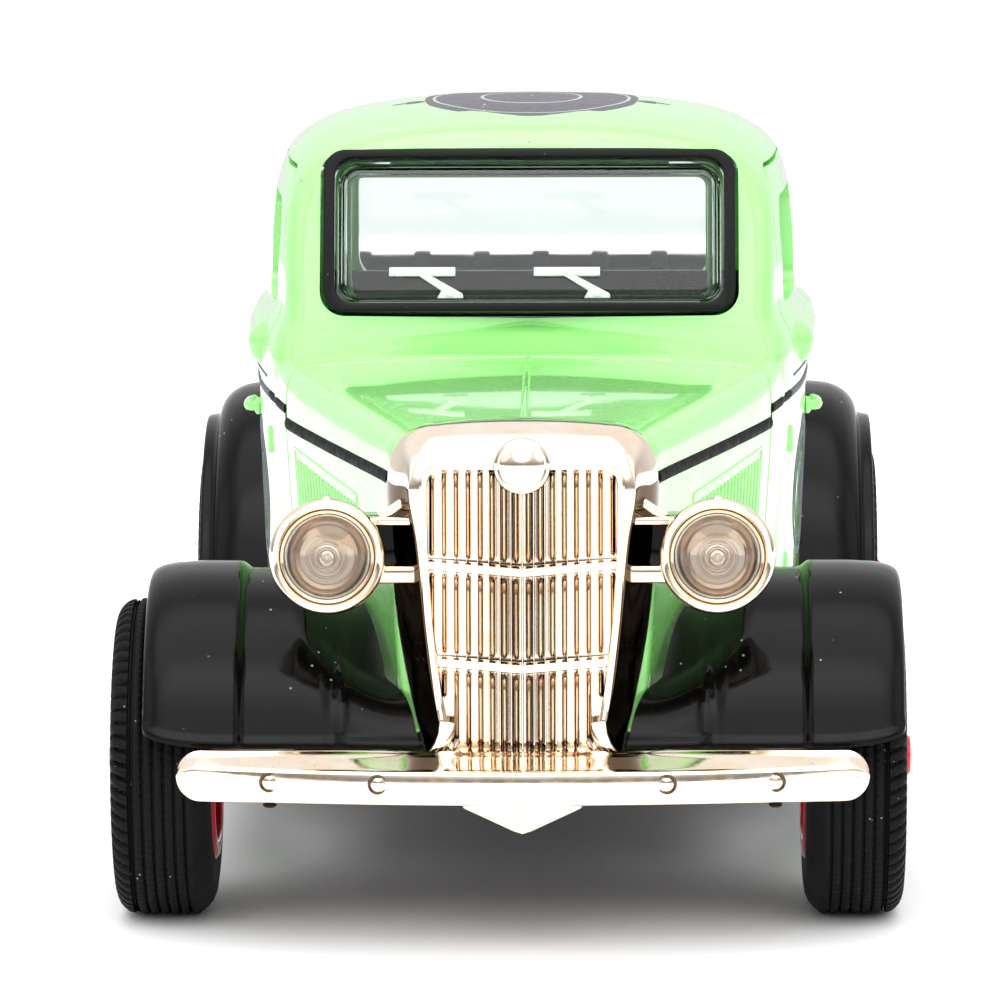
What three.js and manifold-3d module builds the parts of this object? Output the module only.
// A 5-inch diecast collector pickup of mid-1930s shape, built piece by piece.
// Millimetres. +Z up, the vehicle faces -Y, so its own left is +X.
// Origin: on the ground, at the middle of the overall length and width.
import * as THREE from 'three';
import { mergeVertices } from 'three/addons/utils/BufferGeometryUtils.js';
import Module from 'manifold-3d';

const wasm = await Module();
wasm.setup();

// ---------- driving dimensions ----------
const HALF_LENGTH = 64.5;       // nose of front bumper and tail of rear bumper
const AXLE_Z = 10.2;            // wheel centre height
const FRONT_Y = -46.5;          // front axle
const REAR_Y = 36.5;            // rear axle
const TYRE_R = 10.2;
const TYRE_IN = 18.9;           // inner side faces of the tyres, on an axle that sits in the middle
const SIDE_PLAY = -1.0;         // how far the front axle has slid across in its lugs
const RIM_R = 6.7;              // bore of the tyre
const AXLE_R = 0.9;
const LUG_BORE_R = 1.08;        // running clearance for the rods
const WALL = 1.35;              // wall of the diecast shells
const BODY_BOTTOM = 13;
const HOOD_Y0 = -55;            // nose face of the hood
const CAB_Y1 = 13.5;            // back wall of the cab
const DOOR = { y0: -15.2, y1: 4.6, z0: 14.6, z1: 45.4, gap: 0.3 };
const DOOR_HINGE = { x: 17.75, y: -15.05 };
const RAKE = Math.atan2(3, 10.5); // windscreen lean
const SCREEN = { y: -20, z: 36.2 }; // lower edge of the windscreen surround
const PLATE_Z = [8.8, 10.0];     // chassis plate
const BED = { x: 18.0, y0: 14.6, y1: 59.4, z0: 13.2, z1: 31.6 };
const LINER_TOP = 32.7;
const LAMP = { x: 12.2, z: 25.06, r: 3.62, lens: 2.5, y: -61 };

// ---------- materials ----------
const paint = (c, r, m) => new THREE.MeshStandardMaterial({ color: c, roughness: r, metalness: m });
const GREEN = () => paint(0x8be86a, 0.25, 0.0);
const PLATED = () => paint(0xe8c9b0, 0.1, 1.0);
const GLOSS = () => paint(0x0b0b0c, 0.15, 0.0);
const BLACK = () => paint(0x151516, 0.5, 0.0);
const RUBBER = () => paint(0x1b1b1c, 0.8, 0.0);
const RED = () => paint(0xb3101c, 0.3, 0.0);
const STEEL = () => paint(0xb9bcc0, 0.3, 1.0);
const CLEAR = () => new THREE.MeshStandardMaterial({ color: 0xeef4f4, roughness: 0.05, metalness: 0, transparent: true, opacity: 0.3 });

// ---------- geometry helpers ----------
const sides = (f) => [1, -1].map(f);
const lerp = (a, b, t) => a + (b - a) * t;
const clamp = (x, a, b) => Math.min(b, Math.max(a, x));
const smooth = (t) => { t = clamp(t, 0, 1); return t * t * (3 - 2 * t); };

// Value of a smooth curve through a table of [x, y] pairs.
function curve(T, x) {
  const n = T.length;
  if (x <= T[0][0]) return T[0][1];
  if (x >= T[n - 1][0]) return T[n - 1][1];
  let i = 0;
  while (x > T[i + 1][0]) i++;
  const h = T[i + 1][0] - T[i][0], t = (x - T[i][0]) / h;
  const d = (T[i + 1][1] - T[i][1]) / h;
  const dl = i > 0 ? (T[i][1] - T[i - 1][1]) / (T[i][0] - T[i - 1][0]) : d;
  const dr = i < n - 2 ? (T[i + 2][1] - T[i + 1][1]) / (T[i + 2][0] - T[i + 1][0]) : d;
  const m0 = dl * d <= 0 ? 0 : 2 * dl * d / (dl + d);
  const m1 = dr * d <= 0 ? 0 : 2 * dr * d / (dr + d);
  const t2 = t * t, t3 = t2 * t;
  return (2 * t3 - 3 * t2 + 1) * T[i][1] + (t3 - 2 * t2 + t) * h * m0 + (-2 * t3 + 3 * t2) * T[i + 1][1] + (t3 - t2) * h * m1;
}

function weld(g) {
  const h = g.clone();
  for (const k of ['normal', 'uv']) if (h.getAttribute(k)) h.deleteAttribute(k);
  return mergeVertices(h, 1e-4);
}
// Closed geometry to a solid, turned right side out.
function solid(g) {
  const m = weld(g), p = m.attributes.position.array, t = Array.from(m.index.array);
  let vol = 0;
  for (let i = 0; i < t.length; i += 3) {
    const [a, b, c] = [t[i] * 3, t[i + 1] * 3, t[i + 2] * 3];
    vol += p[a] * (p[b + 1] * p[c + 2] - p[b + 2] * p[c + 1]) - p[a + 1] * (p[b] * p[c + 2] - p[b + 2] * p[c]) + p[a + 2] * (p[b] * p[c + 1] - p[b + 1] * p[c]);
  }
  if (vol < 0) for (let i = 0; i < t.length; i += 3) [t[i + 1], t[i + 2]] = [t[i + 2], t[i + 1]];
  return new wasm.Manifold(new wasm.Mesh({ numProp: 3, vertProperties: new Float32Array(p), triVerts: new Uint32Array(t) }));
}
function geometry(man) {
  const m = man.getMesh(), g = new THREE.BufferGeometry();
  g.setAttribute('position', new THREE.BufferAttribute(new Float32Array(m.vertProperties), 3));
  g.setIndex(new THREE.BufferAttribute(new Uint32Array(m.triVerts), 1));
  g.computeVertexNormals();
  return g;
}
const join = (...s) => s.reduce((a, b) => a.add(b));
const cut = (s, ...c) => c.reduce((a, b) => a.subtract(b), s);

// Box between two corners.
function box(x0, x1, y0, y1, z0, z1) {
  const g = new THREE.BoxGeometry(x1 - x0, y1 - y0, z1 - z0);
  g.translate((x0 + x1) / 2, (y0 + y1) / 2, (z0 + z1) / 2);
  return solid(g);
}
// Thin or thick block whose grid is bent by fn(u, v, w) -> [x, y, z].
function bent(nu, nv, nw, fn) {
  const g = weld(new THREE.BoxGeometry(1, 1, 1, nu, nv, nw)), p = g.attributes.position;
  for (let i = 0; i < p.count; i++) p.setXYZ(i, ...fn(p.getX(i) + 0.5, p.getY(i) + 0.5, p.getZ(i) + 0.5));
  return solid(g);
}
// Loft of rings: fn(u, t) gives the ring point, mid(t) the middle of an end cap.
function loft(nu, nt, fn, mid) {
  const g = weld(new THREE.CylinderGeometry(1, 1, 1, nu, nt)), p = g.attributes.position;
  for (let i = 0; i < p.count; i++) {
    const x = p.getX(i), z = p.getZ(i), t = p.getY(i) + 0.5;
    const u = (Math.atan2(x, z) / (2 * Math.PI) + 1) % 1;
    p.setXYZ(i, ...(Math.hypot(x, z) > 0.5 ? fn(u, t) : mid(t)));
  }
  return solid(g);
}
// Outline in (a, b) pushed along the third axis. plane: 'yz' along X, 'xz' along Y, 'xy' along Z.
function prism(pts, plane, c0, c1) {
  const s = new THREE.Shape(pts.map(([a, b]) => new THREE.Vector2(a, b)));
  const g = new THREE.ExtrudeGeometry(s, { depth: c1 - c0, bevelEnabled: false, steps: 1 });
  const p = g.attributes.position;
  for (let i = 0; i < p.count; i++) {
    const a = p.getX(i), b = p.getY(i), c = p.getZ(i) + c0;
    if (plane === 'yz') p.setXYZ(i, c, a, b);
    else if (plane === 'xz') p.setXYZ(i, a, c, b);
    else p.setXYZ(i, a, b, c);
  }
  return solid(g);
}
// Rounded rectangle outline, one radius for each corner: low-left, low-right, top-right, top-left.
function roundRect(a0, a1, b0, b1, r, n = 4) {
  const R = Array.isArray(r) ? r : [r, r, r, r], out = [];
  const c = [[a0 + R[0], b0 + R[0], 180], [a1 - R[1], b0 + R[1], 270], [a1 - R[2], b1 - R[2], 0], [a0 + R[3], b1 - R[3], 90]];
  c.forEach(([x, y, d], k) => {
    for (let i = 0; i <= n; i++) {
      const t = (d + 90 * i / n) * Math.PI / 180;
      out.push([x + R[k] * Math.cos(t), y + R[k] * Math.sin(t)]);
    }
  });
  return out;
}
// Turned piece: profile [radius, height] from axis to axis, or closed on itself, laid along an axis.
function turned(profile, n, place) {
  const g = new THREE.LatheGeometry(profile.map(([r, h]) => new THREE.Vector2(r, h)), n);
  g.applyMatrix4(place);
  return solid(g);
}
const alongX = (x, y, z, dir = 1) => new THREE.Matrix4().makeTranslation(x, y, z).multiply(new THREE.Matrix4().makeRotationZ(-dir * Math.PI / 2));
const alongY = (x, y, z, dir = 1) => new THREE.Matrix4().makeTranslation(x, y, z).multiply(new THREE.Matrix4().makeRotationX(dir > 0 ? 0 : Math.PI));
const alongZ = (x, y, z) => new THREE.Matrix4().makeTranslation(x, y, z).multiply(new THREE.Matrix4().makeRotationX(Math.PI / 2));
const rod = (r, h) => [[0, 0], [r, 0], [r, h], [0, h]];
// Windscreen plane: x across, s up the glass, d into the cab.
const screenPlace = new THREE.Matrix4().makeBasis(
  new THREE.Vector3(1, 0, 0),
  new THREE.Vector3(0, Math.sin(RAKE), Math.cos(RAKE)),
  new THREE.Vector3(0, Math.cos(RAKE), -Math.sin(RAKE)),
).setPosition(0, SCREEN.y, SCREEN.z);
function screenPrism(pts, d0, d1, hole) {
  const s = new THREE.Shape(pts.map(([a, b]) => new THREE.Vector2(a, b)));
  if (hole) s.holes.push(new THREE.Path(hole.map(([a, b]) => new THREE.Vector2(a, b))));
  const g = new THREE.ExtrudeGeometry(s, { depth: d1 - d0, bevelEnabled: false, steps: 1 });
  g.translate(0, 0, d0);
  g.applyMatrix4(screenPlace);
  return solid(g);
}

const group = new THREE.Group();
function node(name, shape, material) {
  const m = new THREE.Mesh(geometry(shape), material);
  m.name = name;
  group.add(m);
}

// ---------- body: hood, cowl and cab ----------
// Half width at the belt line, from the nose to the cab back.
const BELT = [[-55, 8.4], [-54, 8.6], [-45, 11.0], [-35, 13.7], [-24, 16.4], [-17, 17.55], [-8, 18.75], [0, 19.3], [6, 19.45], [13.5, 19.3]];
const HOOD_TOP = [[-55, 32.9], [-50, 33.06], [-35, 33.45], [-24, 33.7], [-21.5, 34.3], [-19, 35.3]];
const HOOD_SHOULDER = [[-55, 32.1], [-45, 32.4], [-24, 32.9], [-19, 33.6]];
// Half section of the hood at y, as fractions of a walk from bottom middle to top middle.
function hoodHalf(y, inner) {
  const e = inner ? WALL : 0, B = curve(BELT, y) - e;
  const top = curve(HOOD_TOP, y) - e, sh = curve(HOOD_SHOULDER, y) - e, low = inner ? 9 : BODY_BOTTOM;
  return [[0, low], [B * 0.9, low], [B * 0.955, 19], [B * 0.985, 25], [B, 29.5 - e * 0.5], [B - 0.02, 30.8 - e], [B - 0.35, sh - 0.45],
    [B - 1.15, sh + 0.02], [B * 0.62, lerp(sh, top, 0.62)], [B * 0.3, lerp(sh, top, 0.9)], [0, top]];
}
function ring(half, u) {
  // u 0..1 once round: 0 at bottom middle, 0.5 at top middle.
  const right = u <= 0.5, s = (right ? u : 1 - u) * 2 * (half.length - 1);
  const i = Math.min(Math.floor(s + 1e-6), half.length - 2), f = clamp(s - i, 0, 1);
  return [(right ? 1 : -1) * lerp(half[i][0], half[i + 1][0], f), lerp(half[i][1], half[i + 1][1], f)];
}
function hood(inner) {
  const y0 = HOOD_Y0 + (inner ? WALL : 0), y1 = inner ? -17.5 : -18.6, n = 20;
  return loft(n, inner ? 5 : 7, (u, t) => {
    const y = lerp(y0, y1, t), [x, z] = ring(hoodHalf(y, inner), u);
    return [x, y, z];
  }, (t) => [0, lerp(y0, y1, t), 22]);
}
// Cab section at its widest station, bottom middle to roof middle.
const CAB_HALF = [[0, 13], [18.7, 13], [19.05, 21.7], [19.3, 28], [19.32, 30.2], [19.6, 31.9], [19.62, 33.2], [19.15, 34.7], [18.6, 35.6], [18.3, 40],
  [17.75, 44.2], [16.7, 46.3], [14.2, 47.95], [9.9, 48.95], [5, 49.4], [0, 49.5]];
const ROOF = [[-18, 47.5], [-16, 48.2], [-12, 48.95], [-6, 49.4], [-1, 49.5], [4, 49.35], [9, 48.7], [13.5, 47.4]];
const CAB_PLAN = [[-21, 0.868], [-17, 0.906], [-8, 0.969], [0, 0.995], [4, 1], [13.5, 0.99]];
const screenY = (z) => SCREEN.y + (z > 33 ? (z - SCREEN.z) * Math.tan(RAKE) : (33 - SCREEN.z) * Math.tan(RAKE));
function cab(inner) {
  const e = inner ? WALL : 0, y1 = CAB_Y1 - e;
  const T = inner ? [0, 0.06, 0.3, 0.55, 0.8, 0.94, 1] : [0, 0.02, 0.055, 0.15, 0.32, 0.5, 0.68, 0.84, 0.93, 0.975, 1];
  const IN = inner ? [0.5, 0, 0, 0, 0, 0.4, 1.3] : [0.95, 0.35, 0, 0, 0, 0, 0, 0.1, 0.5, 1.3, 2.6];
  const n = CAB_HALF.length - 1;
  return loft(2 * n, T.length - 1, (u, t) => {
    const k = Math.round(t * (T.length - 1)), [xh, zh] = ring(CAB_HALF, u);
    const inset = IN[k];
    const yf = screenY(zh) + e, y = lerp(yf, y1, T[k]);
    const top = curve(ROOF, y) - e - inset;
    const z = zh > 36 ? 36 + (zh - 36) * (top - 36) / 13.5 : (inner && zh < 14 ? 9 : zh);
    const x = xh * curve(CAB_PLAN, y) - Math.sign(xh) * Math.min(Math.abs(xh), e + inset);
    return [x, y, z];
  }, (t) => [0, lerp(screenY(24) + e, y1, T[Math.round(t * (T.length - 1))]), 24]);
}
const bodyOuter = join(hood(false), cab(false));
const bodyInner = join(hood(true), cab(true));
const doorOutline = (g) => roundRect(DOOR.y0 - g, DOOR.y1 + g, DOOR.z0 - g, DOOR.z1 + g, [1.2, 1.2, 2.6, 3.6]);
const rearWindow = prism(roundRect(-12.6, 12.6, 36.0, 43.7, 1.7), 'xz', 9, 16);
const screenHole = screenPrism(roundRect(-14.25, 14.25, -0.25, 11.5, 1.7), -4, 4);
const screwBoss = (y, z0, z1) => cut(turned(rod(2.1, z1 - z0), 16, alongZ(0, y, z0)), turned(rod(1.1, 4), 12, alongZ(0, y, z0 - 1)));
// Raised belt moulding, round in section, along the side between y0 and y1.
const bulge = (s, y0, y1, nose, tail) => bent(8, 6, 1, (u, v, w) => {
  const t = [0, 0.03, 0.1, 0.2, 0.45, 0.7, 0.9, 0.97, 1][Math.round(u * 8)], y = lerp(y0, y1, t);
  const cap = (d, r) => (r > 0 && d < r ? Math.sqrt(Math.max(0, 1 - ((r - d) / r) ** 2)) : 1);
  const f = Math.max(0.15, cap(y - y0, nose) * cap(y1 - y, tail)), phi = lerp(-1, 1, v) * Math.PI / 2;
  const out = lerp(19.5, 20.05, clamp((y + 11) / 12, 0, 1)), back = curve(CAB_PLAN, y) * 19.4 - 0.9;
  return [s * (w > 0.5 ? back : back + (out - back) * Math.max(0.02, Math.cos(phi)) * f), y, 33.15 + 1.75 * Math.sin(phi) * (w > 0.5 ? 0.8 : 1) * lerp(0.5, 1, f)];
});
node('body_shell', join(
  cut(bodyOuter, bodyInner, screenHole, rearWindow,
    prism(doorOutline(DOOR.gap), 'yz', 12, 24), prism(doorOutline(DOOR.gap), 'yz', -24, -12)),
  bulge(1, 4.95, 12.6, 0, 1.7), bulge(-1, 4.95, 12.6, 0, 1.7),
  screwBoss(-40, 10.4, 32.6)), GREEN());

// ---------- doors: castings hung at their front edges ----------
const doorBand = cut(bodyOuter, bodyInner);
for (const s of [1, -1]) {
  const span = s > 0 ? [12, 24] : [-24, -12];
  const slab = doorBand.intersect(prism(doorOutline(0), 'yz', ...span));
  const handle = bent(6, 1, 1, (u, v, w) => [s * (19.2 + 1.05 * (w > 0.5 ? Math.sin(Math.PI * clamp(u, 0.06, 0.94)) ** 0.5 : -0.4)), lerp(-0.2, 3.2, u), lerp(27.15, 28.05, v)]);
  node(s > 0 ? 'door_left' : 'door_right',
    join(cut(slab, prism(roundRect(-12.6, 2.4, 36.1, 43.3, [0.8, 0.8, 1.6, 2.6]), 'yz', ...span)), handle, bulge(s, -12.4, 4.4, 1.7, 0)), GREEN());
}

// ---------- glazing ----------
node('windscreen_frame', screenPrism(roundRect(-14.0, 14.0, 0, 11.25, 1.5), -0.35, 1.5, roundRect(-13.2, 13.2, 0.55, 10.7, 1.4).reverse()), BLACK());
const wipers = [[-9.5, -5.0, -5.35], [0.3, 4.8, 4.6]].map(([a, b, p]) => join(
  screenPrism([[a, 2.72], [b, 2.72], [b, 3.0], [a, 3.0]], 0.02, 0.5),
  screenPrism([[p - 0.5, 1.2], [p + 0.1, 1.2], [(a + b) / 2 + 0.2, 2.8], [(a + b) / 2 - 0.2, 2.8]], 0.02, 0.5)));
const pane = cut(screenPrism(roundRect(-13.0, 13.0, 0.75, 10.5, 1.3), 0.35, 2.9), screenPrism(roundRect(-12.2, 12.2, 1.5, 9.75, 0.9), 1.05, 4));
const flange = screenPrism(roundRect(-13.8, 13.8, 0.2, 11.0, 1.6), 1.85, 2.9, roundRect(-12.4, 12.4, 1.3, 9.95, 0.8).reverse());
node('window_insert', join(pane, flange, ...wipers,
  bent(1, 5, 1, (u, v, w) => [lerp(-9.5, 9.5, u), lerp(-15.3, 11.1, v), lerp(45.2, 44.0, v) + 0.7 * w + 1.1 * Math.sin(Math.PI * v)]),
  prism(roundRect(-13.2, 13.2, 34.9, 44.7, 1.6, 3), 'xz', 10.4, 11.2)), CLEAR());

// ---------- radiator shell, grille, badge, lamp brackets and buckets ----------
// Half width of the shell at its front rim and at its back edge, by height.
const RIM = [[11.4, 4.5], [14, 5.2], [17.85, 6.0], [22, 6.7], [26, 7.05], [29.3, 7.3], [31, 7.0], [32, 6.2]];
const BACK = [[11.4, 6.0], [14, 6.7], [17.85, 7.5], [22, 8.1], [26, 8.4], [29.3, 8.55], [31, 8.3], [32.5, 7.6]];
const MOUTH = [[12.5, 4.1], [15, 4.9], [17.85, 5.3], [22, 5.75], [26, 5.95], [29.2, 6.0], [30.2, 5.8], [30.6, 5.1]];
const outline = (T, lo, hi, n, grow = 0) => {
  const z = Array.from({ length: n + 1 }, (_, i) => lerp(lo, hi, i / n));
  return [...z.map((k) => [curve(T, k) + grow, k]), ...z.reverse().map((k) => [-curve(T, k) - grow, k])];
};
const shellBlock = bent(6, 4, 9, (u, v, w) => {
  // u across, v from the front (0) to the back (1), w up
  const bow = 0.35 * (1 - (2 * u - 1) ** 2), top = lerp(31.6, 32.85, smooth(v * 1.3)) + bow;
  const zt = lerp(11.5, top, w), half = lerp(curve(RIM, Math.min(zt, 31.2)), curve(BACK, Math.min(zt, 31.4)), smooth(v * 1.15)) - (w > 0.93 ? 0.8 : 0) * (1 - 0.4 * v);
  const vee = 0.9 * Math.abs(2 * u - 1) * (1 - v);
  return [half * (2 * u - 1), lerp(-61.0, HOOD_Y0 - 0.35, v) + vee - 0.0 * zt, zt];
});
const recess = prism(outline(MOUTH, 12.5, 30.55, 6), 'xz', -64, -59.0);
const grilleField = bent(20, 1, 1, (u, v, w) => {
  const k = Math.round(u * 20), tooth = k % 2 ? 0 : 0.55, x = lerp(-6.05, 6.05, u);
  return [x, v > 0.5 ? -58.6 : -60.7 + 0.13 * Math.abs(x) + tooth, lerp(12.2, 30.8, w)];
}).intersect(prism(outline(MOUTH, 12.3, 30.6, 6, 0.15), 'xz', -64, -57));
const band = (z, h) => bent(4, 1, 1, (u, v, w) => {
  const x = lerp(-6.1, 6.1, u), peak = -0.4 * (1 - Math.abs(2 * u - 1));
  return [x, v > 0.5 ? -59 : -61.05 + 0.13 * Math.abs(x), z + peak + lerp(-h, h, w)];
}).intersect(prism(outline(MOUTH, 12.3, 30.6, 6, 0.15), 'xz', -64, -57));
const badge = turned([[0, 0], [1.75, 0], [1.7, 0.45], [1.2, 0.8], [0.6, 1.0], [0, 1.05]], 16, alongY(0, -60.6, 30.8, -1));
const lampParts = (s) => join(
  turned([[0, 0], [LAMP.r - 0.35, 0], [LAMP.r, 0.4], [LAMP.r, 1.0], [LAMP.r - 0.35, 1.5], [3.0, 3.2], [2.1, 5.2], [0.9, 6.4], [0, 6.6]], 20, alongY(s * LAMP.x, LAMP.y, LAMP.z)),
  box(...(s > 0 ? [6.4, 10.2] : [-10.2, -6.4]), -59.3, -56.4, 23.2, 24.35),
  box(...(s > 0 ? [6.4, 10.2] : [-10.2, -6.4]), -59.3, -56.4, 26.85, 27.4),
  box(...(s > 0 ? [6.4, 10.2] : [-10.2, -6.4]), -57.2, -56.4, 23.2, 27.4));
const lampHole = (s) => turned(rod(LAMP.lens + 0.3, 1.9), 20, alongY(s * LAMP.x, LAMP.y - 0.4, LAMP.z));
node('grille_shell', join(cut(shellBlock, recess), grilleField, band(24.45, 0.3), band(18.3, 0.3), badge,
  ...[1, -1].map((s) => cut(lampParts(s), lampHole(s)))), PLATED());
for (const s of [1, -1]) {
  node(s > 0 ? 'lamp_lens_left' : 'lamp_lens_right',
    turned([[0, 0], [LAMP.lens, 0], [LAMP.lens, 0.75], [LAMP.lens * 0.72, 1.15], [LAMP.lens * 0.35, 1.3], [0, 1.35]], 20, alongY(s * LAMP.x, LAMP.y + 1.3, LAMP.z, -1)), CLEAR());
}

// ---------- bumpers: blade, bolts, brackets ----------
function bumper(dir, plate) {
  // dir -1 at the nose, +1 at the tail; the blade bows forward in the middle
  // section, depth behind the front face and height over the middle of the blade
  const S = [[0.2, -1.5], [0, -1.25], [0, 0.45], [0.15, 0.65], [1.5, 1.35], [2.2, 1.5], [2.2, 0.9], [1.3, -1.5]];
  const L = 21.7, N = 18, stations = Array.from({ length: N + 1 }, (_, i) => {
    const e = i < 3 ? 1.5 * (1 - Math.cos(i / 3 * Math.PI / 2)) : i > N - 3 ? 1.5 * (1 - Math.cos((N - i) / 3 * Math.PI / 2)) : 0;
    return i < 3 ? -L + e : i > N - 3 ? L - e : lerp(-L + 1.5, L - 1.5, (i - 3) / (N - 6));
  });
  const blade = loft(8, N, (u, t) => {
    const x = stations[Math.round(t * N)], [k, z] = S[Math.round(u * 8) % 8];
    const q = Math.abs(x) / L, d = L - Math.abs(x), h = Math.max(0.1, d < 1.5 ? Math.sqrt(1 - (1 - d / 1.5) ** 2) : 1), deep = lerp(1.05, 0.6, smooth((q - 0.3) / 0.7));
    return [x, dir * (HALF_LENGTH - 2.4 * q * q - k * deep), 11.4 + z * h];
  }, (t) => [stations[Math.round(t * N)], dir * (HALF_LENGTH - 2.4 - 0.6), 11.4]);
  const bolts = [9, 15.8].flatMap((x) => sides((s) => turned([[0, 0], [0.45, 0], [0.4, 0.45], [0, 0.6]], 8,
    alongY(s * x, dir * (HALF_LENGTH - 2.4 * (x / L) ** 2 - 0.35), 11.24, dir))));
  const arms = sides((s) => box(...(s > 0 ? [4.2, 6.2] : [-6.2, -4.2]), ...(dir < 0 ? [-63.6, -54.6] : [59.5, 63.6]), 9.9, 11.1));
  const vee = plate ? [prism([[-3.8, 9.6], [0, 7.9], [3.8, 9.6], [3.2, 10.6], [-3.2, 10.6]], 'xz', -63.4, -62.4)] : [];
  return join(blade, ...bolts, ...arms, ...vee);
}
node('front_bumper', bumper(-1, true), PLATED());
node('rear_bumper', bumper(1, false), PLATED());

// ---------- fenders with running boards ----------
const F_ARCH = [[0, 12.35], [60, 12.6], [105, 12.65], [130, 13.2], [150, 14.6], [165, 16.4], [176, 18.2]];
const F_INNER = [[0, 12.3], [20, 11.3], [45, 9.6], [75, 10.0], [100, 10.6], [130, 11.8], [150, 14.0], [165, 16.2], [176, 18.2]];
const R_ARCH = [[0, 15.2], [40, 14.9], [90, 14.9], [140, 14.9], [180, 15.4]];
// Across the fender: fraction of the way out, drop of the radius.
const innerEdge = (y) => (y < -54 ? curve([[-59.5, 6.1], [-57.5, 6.75], [-56, 7.3], [-55.2, 7.7], [-54, 8.75]], y) : curve(BELT, y) * 0.96 + 0.5);
function frontFender(s) {
  return bent(16, 10, 1, (u, v, w) => {
    const k = Math.round(v * 10), far = [0, 0.3, 0.6, 1][Math.min(k, 3)], outer = [17.75, 18.35, 20.4, 22.2, 23.5, 24.1, 24.1, 24.1][clamp(k - 3, 0, 7)];
    const lowEdge = 11.2 + 6 * clamp((k - 3) / 6, 0, 1) ** 3, deg = lerp(lowEdge, 176, u), a = deg * Math.PI / 180;
    const step = 0.45 * smooth((150 - deg) / 30);
    const crown = k < 4 ? lerp(curve(F_INNER, deg), curve(F_ARCH, deg) - step, smooth(far / 0.7)) : curve(F_ARCH, deg);
    const edge = [0, 0, 0, 0, 0, 0, 0.06, 0.35, 0.7, 1.05, 1.3][k];
    const R = crown - edge - w * (k < 8 ? 0.95 : k < 9 ? 0.7 : 0.2);
    const y = FRONT_Y - R * Math.cos(a), z = AXLE_Z + R * Math.sin(a), xi = innerEdge(y);
    const x = k < 3 ? lerp(xi, 17.75, far) : outer;
    return [s * (x - (k > 7 ? w * 0.95 : 0)), y, Math.max(z, 8.5)];
  });
}
function rearFender(s) {
  return bent(14, 8, 1, (u, v, w) => {
    const deg = lerp(-4, 184, u), a = deg * Math.PI / 180, k = Math.round(v * 8);
    const V = [0, 0.3, 0.55, 0.72, 0.85, 0.94, 0.985, 1, 1][k], edge = [0, 0.02, 0.12, 0.4, 0.95, 1.7, 2.5, 3.3, 3.9][k];
    const R = curve(R_ARCH, deg) - edge * (0.4 + 0.6 * Math.max(0, Math.sin(a))) - (k < 6 ? w * 0.95 : 0);
    const x = lerp(18.35, 24.9, V) - (k > 3 ? w * 0.95 * (k - 3) / 5 : 0);
    return [s * x, REAR_Y - R * Math.cos(a), AXLE_Z + R * Math.sin(a)];
  });
}
function board(s) {
  const X = (a, b) => (s > 0 ? [a, b] : [-b, -a]);
  return join(box(...X(17.3, 24.0), -30.2, 22.3, 8.4, 9.4), box(...X(17.3, 18.3), -31, 21.6, 8.4, 12.6));
}
for (const s of [1, -1]) node(s > 0 ? 'fender_left' : 'fender_right', join(frontFender(s), board(s), rearFender(s)), GLOSS());

// ---------- chassis ----------
const holeX = (y) => turned(rod(LUG_BORE_R, 40), 16, alongX(-20, y, AXLE_Z));
const lug = (s, y) => box(...(s > 0 ? [12.6, 14.6] : [-14.6, -12.6]), y - 2, y + 2, PLATE_Z[0] + 0.4, 12.4);
const screwHole = (y) => turned([[0, 0], [2.1, 0], [2.1, 2.15], [1.2, 2.15], [1.2, 4], [0, 4]], 16, alongZ(0, y, 7.5));
node('chassis_plate', cut(join(
  prism(roundRect(-15, 15, -54.2, 59, 2), 'xy', ...PLATE_Z),
  ...[FRONT_Y, REAR_Y].flatMap((y) => sides((s) => lug(s, y))),
), holeX(FRONT_Y), holeX(REAR_Y), screwHole(-40), screwHole(50)), BLACK());
for (const [name, y] of [['screw_front', -40], ['screw_rear', 50]]) {
  node(name, cut(turned([[0, 8.95], [1.6, 8.95], [1.9, 9.15], [1.9, 9.6], [0.85, 9.6], [0.85, 12.2], [0.4, 12.9], [0, 12.9]], 14, alongZ(0, y, 0)),
    box(-1.1, 1.1, y - 0.2, y + 0.2, 8.6, 9.3), box(-0.2, 0.2, y - 1.1, y + 1.1, 8.6, 9.3)), STEEL());
}

// ---------- wheels ----------
const tyreProfile = [[RIM_R, 0.3], [8.8, 0], [TYRE_R, 1.0], [TYRE_R, 5.5], [8.8, 6.4], [RIM_R, 6.1], [RIM_R, 0.3]];
const hubProfile = [[1.1, 2.0], [5.4, 2.0], [5.6, -0.1], [6.4, -0.1], [6.4, 5.6], [5.7, 5.6], [5.3, 4.8], [2.0, 4.6], [1.45, 6.7], [0.8, 7.05], [0, 7.05], [0, 5.0], [1.1, 5.0], [1.1, 2.0]];
for (const [end, y] of [['front', FRONT_Y], ['rear', REAR_Y]]) {
  const slid = end === 'front' ? SIDE_PLAY : 0;
  node(`axle_${end}`, turned(rod(AXLE_R, 2 * 23.6), 16, alongX(-23.6 + slid, y, AXLE_Z)), STEEL());
  for (const s of [1, -1]) {
    const side = s > 0 ? 'left' : 'right', place = alongX(s * TYRE_IN + slid, y, AXLE_Z, s);
    node(`hub_${end}_${side}`, turned(hubProfile, 18, place), RED());
    node(`tyre_${end}_${side}`, turned(tyreProfile, 28, place), RUBBER());
  }
}

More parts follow.
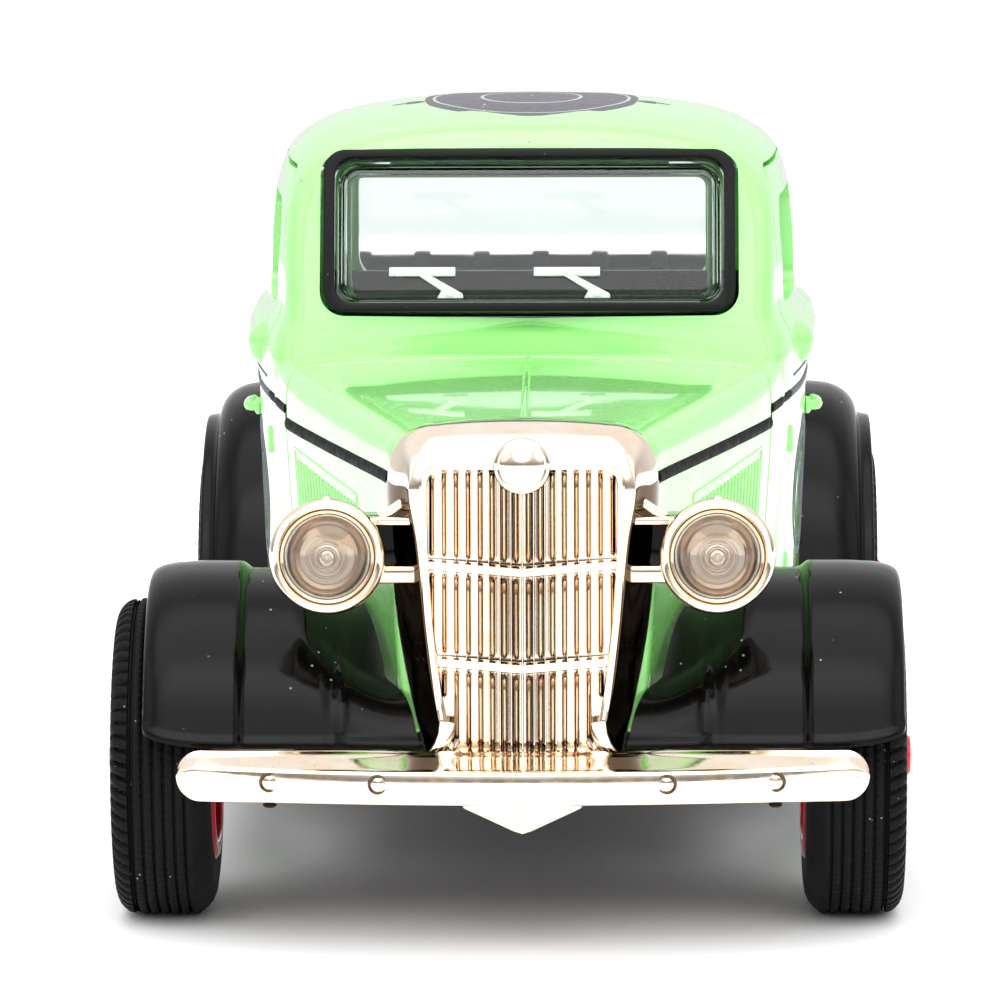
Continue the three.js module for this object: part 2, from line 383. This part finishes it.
// ---------- cab interior ----------
node('interior_tub', join(
  box(-14.3, 14.3, -17.2, 11.2, 13.8, 14.8),
  bent(4, 3, 1, (u, v, w) => [lerp(-14.8, 14.8, u), lerp(0.6, 10, v), w < 0.5 ? 14.4 : 21.4 + 0.5 * Math.sin(Math.PI * v)]),
  bent(4, 3, 1, (u, v, w) => [lerp(-14.8, 14.8, u), lerp(7.4, 9.2, w) + 0.09 * (v * 10), lerp(20.8, 35.6, v)]),
  box(-13.4, 13.4, -16.9, -14.6, 26.4, 32.6), box(-2.4, 2.4, -16.9, -15.4, 14.4, 26.8)), BLACK());
const wheelPlace = new THREE.Matrix4().makeTranslation(7.4, -10.2, 29.4).multiply(new THREE.Matrix4().makeRotationX(0.95));
const rim = new THREE.TorusGeometry(3.5, 0.35, 6, 16);
rim.applyMatrix4(wheelPlace);
const spoke = (a) => { const g = new THREE.BoxGeometry(3.4, 0.5, 0.4); g.translate(1.7, 0, 0); g.rotateZ(a); g.applyMatrix4(wheelPlace); return solid(g); };
const column = new THREE.CylinderGeometry(0.55, 0.55, 5.2, 8);
column.rotateX(Math.PI / 2); column.translate(0, 0, -2.2); column.applyMatrix4(wheelPlace);
node('steering_wheel', join(solid(rim), spoke(Math.PI / 2), spoke(Math.PI * 7 / 6), spoke(-Math.PI / 6), solid(column)), BLACK());

// ---------- cargo bed ----------
const tray = (x, y0, y1, z0, z1, wall, floor) => cut(box(-x, x, y0, y1, z0, z1), box(-x + wall, x - wall, y0 + wall, y1 - wall, z0 + floor, z1 + 2));
node('bed_shell', join(tray(BED.x, BED.y0, BED.y1, BED.z0, BED.z1, 1.2, 1.1),
  screwBoss(50, 10.4, 13.6)), GREEN());
const post = (x, y, w, d, z0, z1) => box(x - w / 2, x + w / 2, y - d / 2, y + d / 2, z0, z1);
const LX = BED.x - 1.2 - 0.3, LY0 = BED.y0 + 1.5, LY1 = BED.y1 - 1.5;
const posts = [];
for (let i = -3; i <= 3; i++) posts.push(post(i * 4.6, LY1 - 1.1, 1.3, 1.4, 15, LINER_TOP + 0.3), post(i * 4.6, LY0 + 1.1, 1.3, 1.4, 15, LINER_TOP + 0.3));
for (const s of [1, -1]) for (let y = LY0 + 5; y < LY1 - 3; y += 4.9) posts.push(post(s * (LX - 1.1), y, 1.4, 1.3, 15, LINER_TOP + 0.3));
node('bed_liner', join(tray(LX, LY0, LY1, 14.6, LINER_TOP, 1.0, 0.9), ...posts,
  ...[-12, -8, -4, 0, 4, 8, 12].map((x) => box(x - 0.4, x + 0.4, LY0 + 0.5, LY1 - 0.5, 15.2, 15.9))), BLACK());

export default group;
